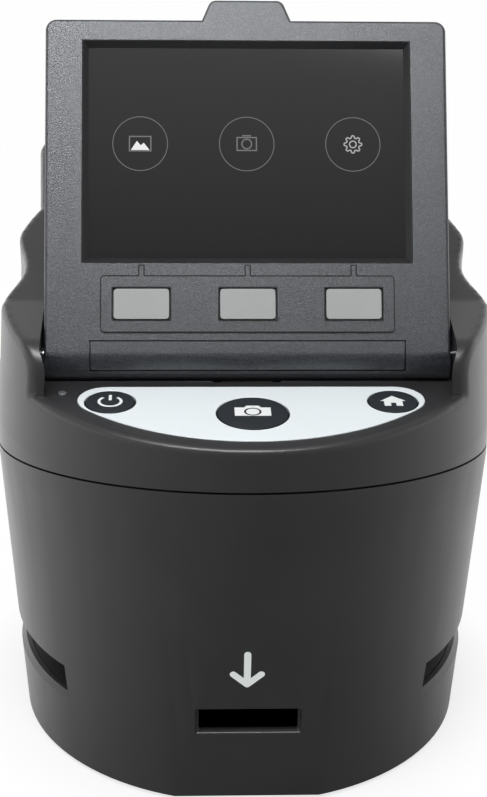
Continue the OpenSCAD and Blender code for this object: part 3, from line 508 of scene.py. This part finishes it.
def surface_of(field, low, high, step):
    """Closed mesh of quads where a field is zero: one corner per cell, drawn onto the surface."""
    axes = [np.arange(a, b, step) for a, b in zip(low, high)]
    values = field(*np.meshgrid(*axes, indexing="ij"))
    inside = values < 0
    count = np.zeros([n - 1 for n in inside.shape], int)
    for i in (0, 1):
        for j in (0, 1):
            for k in (0, 1):
                count += inside[i:i - 1 or None, j:j - 1 or None, k:k - 1 or None]
    crossed = (count > 0) & (count < 8)
    number = np.full(crossed.shape, -1)
    number[crossed] = np.arange(crossed.sum())
    points = np.array(low) + (np.argwhere(crossed) + 0.5) * step
    nudge, rounds, flattest = 0.05, 6, 0.2
    for _ in range(rounds):
        here = field(*points.T)
        slope = np.stack([(field(*(points + shift).T) - field(*(points - shift).T)) / (2 * nudge)
                          for shift in np.eye(3) * nudge], axis=1)
        points -= slope * (here / np.maximum((slope ** 2).sum(1), flattest))[:, None]
    quads = []
    for axis in range(3):
        first = np.take(inside, range(inside.shape[axis] - 1), axis)
        second = np.take(inside, range(1, inside.shape[axis]), axis)
        for solid_first, cells in ((True, first & ~second), (False, ~first & second)):
            at = np.argwhere(cells)
            u, v = [np.eye(3, dtype=int)[(axis + n) % 3] for n in (1, 2)]
            ring = [at - u - v, at - v, at, at - u]
            corners = np.stack([number[tuple(c.T)] for c in ring], axis=1)
            quads.append(corners if solid_first else corners[:, ::-1])
    return points, np.concatenate(quads)


def round_upper_casing():
    """The upper casing cut back to its rounded outside."""
    points, quads = surface_of(casing_field, Form.low, Form.high, Form.step)
    outside = bpy.data.meshes.new("outside")
    points = (points + np.array((0, Form.axis_y, Form.foot))) * MM
    outside.from_pydata(points.tolist(), [], quads.tolist())
    stands_for("upper_shell", shaded(cut_to(merged("upper_shell"), "upper_shell", outside)))


# ------------------------------------------------------------------ printed signs

SIGN_LIFT = 0.03 * MM
LAYER = 0.004 * MM


def ring_points(radius, start=0.0, end=360.0, steps=48, centre=(0, 0)):
    """Points of an arc; a whole turn leaves its last point out."""
    count = steps if end - start >= 360 else steps + 1
    angles = [math.radians(start + (end - start) * i / steps) for i in range(count)]
    return [(centre[0] + radius * math.cos(a), centre[1] + radius * math.sin(a)) for a in angles]


def stroke(points, width, closed=False):
    """Outline strips of a line of even width, mitred at its corners."""
    bluntest = 0.4
    count = len(points)
    rails = []
    for i, (x, y) in enumerate(points):
        before = Vector(points[i - 1]) if closed or i > 0 else None
        after = Vector(points[(i + 1) % count]) if closed or i < count - 1 else None
        here = Vector((x, y))
        way_in = (here - before).normalized() if before is not None else (after - here).normalized()
        way_out = (after - here).normalized() if after is not None else way_in
        along = (way_in + way_out).normalized()
        side = Vector((-along.y, along.x))
        reach = width / 2 / max(bluntest, along.dot(way_in))
        rails.append((here + side * reach, here - side * reach))
    spans = range(count if closed else count - 1)
    return [[rails[i][0], rails[i][1], rails[(i + 1) % count][1], rails[(i + 1) % count][0]] for i in spans]


def disc(radius, centre=(0, 0), steps=32):
    return [ring_points(radius, steps=steps, centre=centre)]


def flat_sign(layers, matrix, base=0.0):
    """Thin raised print of convex outlines; each further layer stands a little higher.

    So outlines of different layers may overlap.
    """
    mesh = bpy.data.meshes.new("sign")
    work = bmesh.new()
    for level, shapes in enumerate(layers):
        top = base + SIGN_LIFT + level * LAYER
        for outline in shapes:
            lower = [work.verts.new((p[0], p[1], base)) for p in outline]
            upper = [work.verts.new((p[0], p[1], top)) for p in outline]
            work.faces.new(upper)
            work.faces.new(list(reversed(lower)))
            for i in range(len(outline)):
                j = (i + 1) % len(outline)
                work.faces.new((lower[i], lower[j], upper[j], upper[i]))
    bmesh.ops.recalc_face_normals(work, faces=work.faces)
    work.transform(matrix)
    work.to_mesh(mesh)
    work.free()
    return mesh


def power_sign(size):
    """Ring open at its top, and a bar in the opening."""
    gap, line = 38, size * 0.26
    arc = stroke(ring_points(size, 90 + gap, 450 - gap, 32), line)
    bar = stroke([(0, size * 0.25), (0, size * 1.3)], line)
    return [arc + bar]


def camera_sign(width):
    """Filled camera: a body with its viewfinder hump, open round the lens."""
    half, high, rise = width * 0.5, width * 0.255, width * 0.115
    shoulder, crown = width * 0.238, width * 0.168
    outer, inner, lens_y = width * 0.242, width * 0.184, width * 0.066
    corner, steps = math.atan2(high, half), 48
    corners = [corner, math.pi - corner, math.pi + corner, math.tau - corner]
    angles = sorted([math.tau * i / steps for i in range(steps)] + corners)

    def edge(angle):
        """Point of the body's outline in a direction from the middle of the lens."""
        c, s = math.cos(angle), math.sin(angle)
        reach = min(half / max(abs(c), 1e-6), high / max(abs(s), 1e-6))
        return (c * reach, s * reach)

    body = []
    for a, b in zip(angles, angles[1:] + angles[:1]):
        rim = [(outer * math.cos(t), outer * math.sin(t)) for t in (a, b)]
        body.append([rim[0], edge(a), edge(b), rim[1]])
    body.append([(-shoulder, high), (shoulder, high), (crown, high + rise), (-crown, high + rise)])
    return [moved(body + disc(inner), 0, lens_y)]


def house_sign(size):
    """Filled house: a roof on two walls, with a door between them."""
    ridge, wall, door = size * 0.9, size * 0.72, size * 0.2
    foot, door_top = -size * 0.85, -size * 0.3
    roof = [[(-size, 0), (size, 0), (0, ridge)]]
    left = [[(-wall, foot), (-door, foot), (-door, 0), (-wall, 0)]]
    right = [[(-x, y) for x, y in reversed(left[0])]]
    lintel = [[(-door, door_top), (door, door_top), (door, 0), (-door, 0)]]
    return [roof + left + right + lintel]


def rectangle(width, height):
    x, y = width / 2, height / 2
    return [(-x, -y), (x, -y), (x, y), (-x, y)]


def moved(shapes, x, y):
    return [[(p[0] + x, p[1] + y) for p in outline] for outline in shapes]


def gear_outline(radius, teeth=8):
    """Round gear as a wavy line, flat at the tops and feet of its teeth."""
    steps, mean, swing, steep = 96, 0.87, 0.13, 1.5
    points = []
    for angle in (math.tau * i / steps for i in range(steps)):
        reach = radius * (mean + swing * max(-1, min(1, steep * math.cos(angle * teeth))))
        points.append((reach * math.sin(angle), reach * math.cos(angle)))
    return points


# ------------------------------------------------------------------ the scanner's own pieces

def at_front_window(point):
    """Whether a point is at the small window in the front of the foot."""
    half, front, low, high = 13 * MM, -50 * MM, 8 * MM, 30 * MM
    return abs(point.x) < half and point.y < front and low < point.z < high


def dress_casing():
    round_upper_casing()
    softened("lower_shell", 0.35 * MM, only=at_front_window)
    softened("base_plate", 0.3 * MM)
    softened("rubber_feet", 0.4 * MM)


def outer_loop(mesh, level):
    """Longest closed edge of the faces that lie at a height, as corner points in order."""
    work = bmesh.new()
    work.from_mesh(mesh)
    flat = {f for f in work.faces if all(abs(v.co.z - level) < LEVEL for v in f.verts)}
    follows = {}
    for face in sorted(flat, key=lambda f: f.index):
        for loop in face.loops:
            if not any(other in flat for other in loop.edge.link_faces if other is not face):
                follows[loop.vert.index] = loop.link_loop_next.vert.index
    places = [tuple(v.co[:2]) for v in work.verts]
    work.free()
    loops = []
    while follows:
        chain = [next(iter(follows))]
        while chain[-1] in follows:
            chain.append(follows.pop(chain[-1]))
        loops.append([places[i] for i in chain[:-1]])
    return max(loops, key=lambda loop: max(p[0] for p in loop) - min(p[0] for p in loop))


def inset(points, distance):
    """Closed outline moved inwards, mitred at its corners."""
    bluntest = 0.5
    moved_in = []
    for i, point in enumerate(points):
        here, before, after = (Vector(p) for p in (point, points[i - 1], points[(i + 1) % len(points)]))
        way_in, way_out = (here - before).normalized(), (after - here).normalized()
        along = (way_in + way_out).normalized()
        moved_in.append(here + Vector((-along.y, along.x)) * distance / max(bluntest, along.dot(way_in)))
    return moved_in


def round_lid_front():
    """The lid's front half with its outer edge rounded over, its finger tab included.

    The half is cut to its own outline, drawn in level by level. Near the barrel, which is round
    as it is, the outline runs on past the solid.
    """
    barrel_end, past, above_face, steps = 10 * MM, 20 * MM, 3 * MM, 6
    mesh = merged("lid_front")
    mesh.transform(LID_INVERSE)
    loop = outer_loop(mesh, LID_FACE)
    clear = [p[1] > barrel_end for p in loop]
    start = next(i for i in range(len(loop)) if clear[i] and not clear[i - 1])
    outline = [p for p in loop[start:] + loop[:start] if p[1] > barrel_end]
    outline += [(outline[-1][0], -past), (outline[0][0], -past)]
    levels = [(0, -past)]
    for turn in (math.radians(90 * i / steps) for i in range(steps + 1)):
        drawn_in = LID_ROUND * (1 - math.cos(turn))
        levels.append((drawn_in, LID_FACE - LID_ROUND * (1 - math.sin(turn))))
    levels.append((drawn_in, LID_FACE + above_face))
    work = bmesh.new()
    rings = [[work.verts.new((*p, z)) for p in inset(outline, EDGE_LOSS + depth)] for depth, z in levels]
    for low, high in zip(rings, rings[1:]):
        for i in range(len(outline)):
            work.faces.new((low[i - 1], low[i], high[i], high[i - 1]))
    work.faces.new(rings[-1])
    work.faces.new(list(reversed(rings[0])))
    bmesh.ops.recalc_face_normals(work, faces=work.faces)
    form = bpy.data.meshes.new("lid_outside")
    work.to_mesh(form)
    work.free()
    whole = cut_to(mesh, "lid_front", form)
    whole.transform(LID_INVERSE.inverted())
    stands_for("lid_front", applied(shaded(whole), "lid_front", ("WEIGHTED_NORMAL", STEADY)))


def paint_field_shade():
    """Painted shade: a dark line along the edges of the raised field round the keys, those of its holes included,
    where the step and the gaps fall into shade.
    """
    line = 0.26 * MM
    work = bmesh.new()
    work.from_mesh(merged("lid_front"))
    work.transform(LID_INVERSE)
    top = max(v.co.z for v in work.verts)
    shapes = []
    for edge in work.edges:
        raised = [min(v.co.z for v in face.verts) > top - LEVEL for face in edge.link_faces]
        ends = [v.co[:2] for v in edge.verts]
        if raised.count(True) == 1:
            shapes += stroke(ends, line)
    work.free()
    face = LID_INVERSE.inverted() @ Matrix.Translation((0, 0, top))
    # Thin dark strip of painted shade laid over each edge
    mesh = flat_sign([shapes], face, base=-SIGN_LIFT / 2)
    piece("key_field_painted_shade", mesh, RECESS_SHADE, "lid")


def dress_lid():
    round_lid_front()
    paint_field_shade()
    softened("lid_back", 0.6 * MM)
    softened("screen_bezel", 0.12 * MM, segments=2, flat=0)
    softened("screen_glass", 0.1 * MM, segments=2)
    softened("hinge_strip", 0.2 * MM, segments=2)
    for key in ("left_key", "middle_key", "right_key"):
        softened(key, 0.15 * MM)


def dress_panel():
    softened("panel_inlay", 0.15 * MM, segments=2)
    softened("status_lens", 0.3 * MM)
    for button in ("power_button", "capture_button", "home_button"):
        softened(button, 0.15 * MM)


def print_signs():
    inks = {
        "power_button": power_sign(2.5 * MM),
        "capture_button": camera_sign(8.1 * MM),
        "home_button": house_sign(2.9 * MM),
    }
    for button, layers in inks.items():
        mesh = flat_sign(layers, face_of(button, -PRESS_BUTTON))
        piece(button.replace("button", "sign"), mesh, SIGN_WHITE, button)


def light_display():
    """Signs of the start page: three rings with a picture, a camera and a gear."""
    sheet = face_of("screen_glass", -PRESS_KEY)
    above, pitch = 2.1 * MM, 24.75 * MM
    line, ring_line, ring_r = 0.28 * MM, 0.16 * MM, 6.35 * MM
    picture, camera = rectangle(4.95 * MM, 3.4 * MM), rectangle(4.5 * MM, 3.06 * MM)
    lens_r, finder_half, finder_y = 1.13 * MM, 1.03 * MM, 1.96 * MM
    gear_r, hub_r = 2.05 * MM, 0.78 * MM
    foot, saddle = -1.5 * MM, -0.4 * MM
    dim = []
    for i in (-1, 0, 1):
        dim += moved(stroke(ring_points(ring_r, steps=96), ring_line, closed=True), i * pitch, above)
    dim += moved(stroke(picture, line, closed=True), -pitch, above)
    dim += moved(stroke(camera, line, closed=True), 0, above)
    dim += moved(stroke(ring_points(lens_r, steps=32), line, closed=True), 0, above)
    dim += moved(stroke([(-finder_half, finder_y), (finder_half, finder_y)], line), 0, above)
    gear = stroke(gear_outline(gear_r), line, closed=True)
    gear += stroke(ring_points(hub_r), line, closed=True)
    hills = [
        [(-2.15 * MM, foot), (0, foot), (0.1 * MM, saddle), (-0.75 * MM, 0.65 * MM)],
        [(0, foot), (2.15 * MM, foot), (0.85 * MM, 0.2 * MM), (0.1 * MM, saddle)],
    ]
    signs = (
        ("display_rings", dim, DIM_LINE),
        ("display_gear", moved(gear, pitch, above), BRIGHT_LINE),
        ("display_hills", moved(hills, -pitch, above), FULL_LIGHT),
    )
    for name, shapes, light in signs:
        piece(name, flat_sign([shapes], sheet), light, "lid")


def print_arrow():
    """Arrow on the front of the casing, laid on its surface."""
    width = 1.58 * MM
    centre_x, top, tip = -0.5 * MM, 42.2 * MM, 33.85 * MM
    in_front, backwards = -200 * MM, Vector((0, 1, 0))
    wing = Vector((3.18 * MM, 2.87 * MM))
    ends = ((0, top), (0, tip), (-wing.x, tip + wing.y), (wing.x, tip + wing.y))
    layers = [
        stroke([(0, top), (0, tip)], width),
        stroke([ends[2], (0, tip)], width),
        stroke([(0, tip), ends[3]], width),
        [ring_points(width / 2, centre=at, steps=24) for at in ends],
    ]
    front = Matrix(((1, 0, 0, centre_x), (0, 0, -1, 0), (0, 1, 0, 0), (0, 0, 0, 1)))
    mesh = flat_sign(layers, front, base=-SIGN_LIFT / 2)
    shell = NODES["lower_shell"].data
    tree = BVHTree.FromPolygons([v.co for v in shell.vertices], [p.vertices for p in shell.polygons])
    for vertex in mesh.vertices:
        x, offset, z = vertex.co
        hit = tree.ray_cast(Vector((x, in_front, z)), backwards)[0]
        vertex.co = Vector((x, hit.y + offset, z))
    piece("guide_arrow", mesh, ARROW_GREY, "casing")


# ------------------------------------------------------------------ screw recesses, painted as shade

def parts_of(node):
    """Corner points of each separate part of a node."""
    work = bmesh.new()
    work.from_mesh(merged(node))
    left, parts = set(work.verts), []
    while left:
        part = [left.pop()]
        for vertex in part:
            near = {edge.other_vert(vertex) for edge in vertex.link_edges} & left
            left -= near
            part += near
        parts.append([v.co.copy() for v in part])
    work.free()
    return parts


def cross_shade_tree():
    """Instances a dark cross of painted recess shade on every point, each turned its own way."""
    group = bpy.data.node_groups.new("cross_recesses", "GeometryNodeTree")
    tree = Tree(group)
    sockets = {}
    for name, kind in (("Points", "Geometry"), ("Arm Length", "Float"), ("Arm Width", "Float"),
                       ("Thickness", "Float"), ("Turn Seed", "Int"), ("Finish", "Material")):
        made = group.interface.new_socket(name, in_out="INPUT", socket_type="NodeSocket" + kind)
        sockets[name] = made.identifier
    group.interface.new_socket("Shade Crosses", in_out="OUTPUT", socket_type="NodeSocketGeometry")
    given = group.nodes.new("NodeGroupInput")
    want = {name: Value(tree, given.outputs[name]) for name in sockets}

    def geometry(kind, values, out=0, **settings):
        return tree.node(kind, values, out=out, family="GeometryNode", **settings)

    def box(x, y):
        size = tree.node("CombineXYZ", [x, y, want["Thickness"]])
        return geometry("MeshCube", {"Size": size})

    long, wide = want["Arm Length"], want["Arm Width"]
    cross = group.nodes.new("GeometryNodeJoinGeometry")
    for arm in (box(long, wide), box(wide, long)):
        group.links.new(arm.socket, cross.inputs[0])
    turn = tree.node("RandomValue", {"Max": (0, 0, math.tau), "Seed": want["Turn Seed"]},
                     family="FunctionNode", data_type="FLOAT_VECTOR")
    placed = geometry("InstanceOnPoints", {
        "Points": want["Points"], "Instance": Value(tree, cross.outputs[0]), "Rotation": turn})
    whole = geometry("RealizeInstances", [placed])
    finished = geometry("SetMaterial", {"Geometry": whole, "Material": want["Finish"]})
    tree.put(group.nodes.new("NodeGroupOutput").inputs[0], finished)
    return group, sockets


CROSS_SHADE_NODES = cross_shade_tree()


def paint_recess_shade(node, out, head_r, seed):
    """Painted shade: a dark cross on the head of every screw of a node, standing in for the shade of its recess;
    out is the way its heads face.
    """
    # The cross is a thin dark sheet on the head, not a cut
    arm, arm_width, thickness = head_r * 1.15, head_r * 0.3, 0.03 * MM
    matrix = place(Vector((0, 0, 0)), out)
    inverse = matrix.inverted()
    spots = []
    for part in parts_of(node):
        local = [inverse @ p for p in part]
        top = max(p.z for p in local)
        spots.append([(min(p[i] for p in local) + max(p[i] for p in local)) / 2 for i in (0, 1)] + [top])
    # In order of place, so that every run turns each cross the same way
    spots.sort(key=lambda spot: [round(c / MM, 1) for c in spot])
    points = bpy.data.meshes.new(node)
    points.from_pydata(spots, [], [])
    carrier = bpy.data.objects.new(node + "_work", points)
    bpy.context.scene.collection.objects.link(carrier)
    modifier = carrier.modifiers.new("recesses", "NODES")
    modifier.node_group, sockets = CROSS_SHADE_NODES
    given = {"Arm Length": arm, "Arm Width": arm_width, "Thickness": thickness,
             "Turn Seed": seed, "Finish": RECESS_SHADE}
    for name, value in given.items():
        modifier[sockets[name]] = value
    graph = bpy.context.evaluated_depsgraph_get()
    mesh = bpy.data.meshes.new_from_object(carrier.evaluated_get(graph))
    bpy.data.objects.remove(carrier)
    mesh.transform(matrix)
    piece(node + "_recesses", mesh, RECESS_SHADE, NODE_BODY[node])


def dress_screws():
    down = Vector((0, 0, -1))
    paint_recess_shade("base_screws", down, 2.4 * MM, 3)
    paint_recess_shade("lid_screws", PRESS_KEY, 1.5 * MM, 5)


# ------------------------------------------------------------------ the stage

def floor_finish():
    """Pale floor: white to the camera away from the scanner, graded front to back in reflections."""
    f = Finish("pale_floor")
    f.set(Base_Color=grey(0.86), Roughness=0.6, Specular_IOR_Level=0.2)
    reach = f.node("VectorMath", [f.place], out="Value", operation="LENGTH")
    back = f.node("SeparateXYZ", [f.place], out=1) / reach
    right = f.node("SeparateXYZ", [f.place], out=0) / reach
    glow = f.node("Emission", {"Strength": 1.0})
    graded = f.node("Emission", {"Strength": 0.9 + back * 0.75 - right * 0.1})
    decimetres = reach * 10
    clear = f.ramp(decimetres, (0.57, 0.76), (0.74, 0.98))
    seen = f.node("LightPath", out="Is Camera Ray") * clear
    mirrored = f.node("LightPath", out="Is Glossy Ray")
    plain = f.node("MixShader", [seen, Value(f, f.shader.outputs[0]), glow])
    f.put(f.out.inputs["Surface"], f.node("MixShader", [mirrored, plain, graded]))
    return f.material


def build_stage():
    bpy.ops.mesh.primitive_plane_add(size=8, location=(0, 0, 0))
    floor = bpy.context.object
    floor.name = "floor"
    floor.data.materials.append(floor_finish())

    world = bpy.data.worlds.new("studio")
    world.use_nodes = True
    t = Tree(world.node_tree)
    way = t.node("TexCoord", out="Generated")
    back = t.node("SeparateXYZ", [way], out=1)
    right = t.node("SeparateXYZ", [way], out=0)
    overhead = t.ramp(t.node("SeparateXYZ", [way], out=2), (0.27, 1), (0.58, 0.27))
    around = t.ramp(back * 0.5 + 0.5, (0, 0.062), (0.3, 0.42), (1, 1))
    level = (around * 2.15 - right * 0.13) * overhead
    soft = t.node("Background", {"Color": grey(1), "Strength": level})
    white = t.node("Background", {"Color": grey(1), "Strength": 1.0})
    seen = t.node("LightPath", out="Is Camera Ray")
    t.node("OutputWorld", {"Surface": t.node("MixShader", [seen, soft, white])})
    bpy.context.scene.world = world


def softbox(name, turn, rise, distance, width, height, level):
    """Soft light that stands off the lid's middle: its turn from the front and its rise in degrees.

    At level 1 it gives four watts from each square metre.
    """
    aim = Vector((0, 0, 130 * MM))
    turn, rise = math.radians(turn), math.radians(rise)
    way = Vector((math.sin(turn) * math.cos(rise), -math.cos(turn) * math.cos(rise), math.sin(rise)))
    data = bpy.data.lights.new(name, "AREA")
    data.shape = "RECTANGLE"
    data.size, data.size_y = width, height
    data.energy = level * 4 * width * height
    lamp = bpy.data.objects.new(name, data)
    bpy.context.scene.collection.objects.link(lamp)
    lamp.location = aim + way * distance
    lamp.rotation_euler = (-way).to_track_quat("-Z", "Y").to_euler()


def light_studio():
    softbox("front_softbox", turn=-14, rise=57.5, distance=0.5, width=0.4, height=0.12, level=13.4)


def place_camera():
    """Camera of the product view, fitted to the casing.

    Distances are millimetres from the body axis and its foot. The focal length, the centre and
    the size of the view are in pixels.
    """
    distance, height = 400.0, 242.12
    down, turn, roll = (math.radians(a) for a in (22.08, 2.22, 0.75))
    focal, centre_x, centre_y = 1752.5, 243.4, 398.0
    wide, high, sensor = 487, 797, 36
    ahead = Vector((math.sin(turn) * math.cos(down), math.cos(turn) * math.cos(down), -math.sin(down)))
    up = Vector((math.sin(turn) * math.sin(down), math.cos(turn) * math.sin(down), math.cos(down)))
    right = ahead.cross(up)
    x = right * math.cos(roll) + up * math.sin(roll)
    y = up * math.cos(roll) - right * math.sin(roll)
    data = bpy.data.cameras.new("camera")
    camera = bpy.data.objects.new("camera", data)
    bpy.context.scene.collection.objects.link(camera)
    behind = Form.axis_y - distance * math.cos(turn)
    spot = Vector((-distance * math.sin(turn), behind, height + Form.foot)) * MM
    camera.matrix_world = Matrix((
        (x.x, y.x, -ahead.x, spot.x),
        (x.y, y.y, -ahead.y, spot.y),
        (x.z, y.z, -ahead.z, spot.z),
        (0, 0, 0, 1),
    ))
    data.sensor_fit = "VERTICAL"
    data.sensor_height = sensor
    data.lens = focal / high * sensor
    data.shift_x = (wide / 2 - centre_x) / high
    data.shift_y = (centre_y - high / 2) / high
    data.clip_start = 0.01
    bpy.context.scene.camera = camera


place_camera()
dress_casing()
dress_lid()
dress_panel()
print_signs()
light_display()
print_arrow()
dress_screws()
build_stage()
light_studio()
bpy.context.scene.view_settings.view_transform = "Standard"
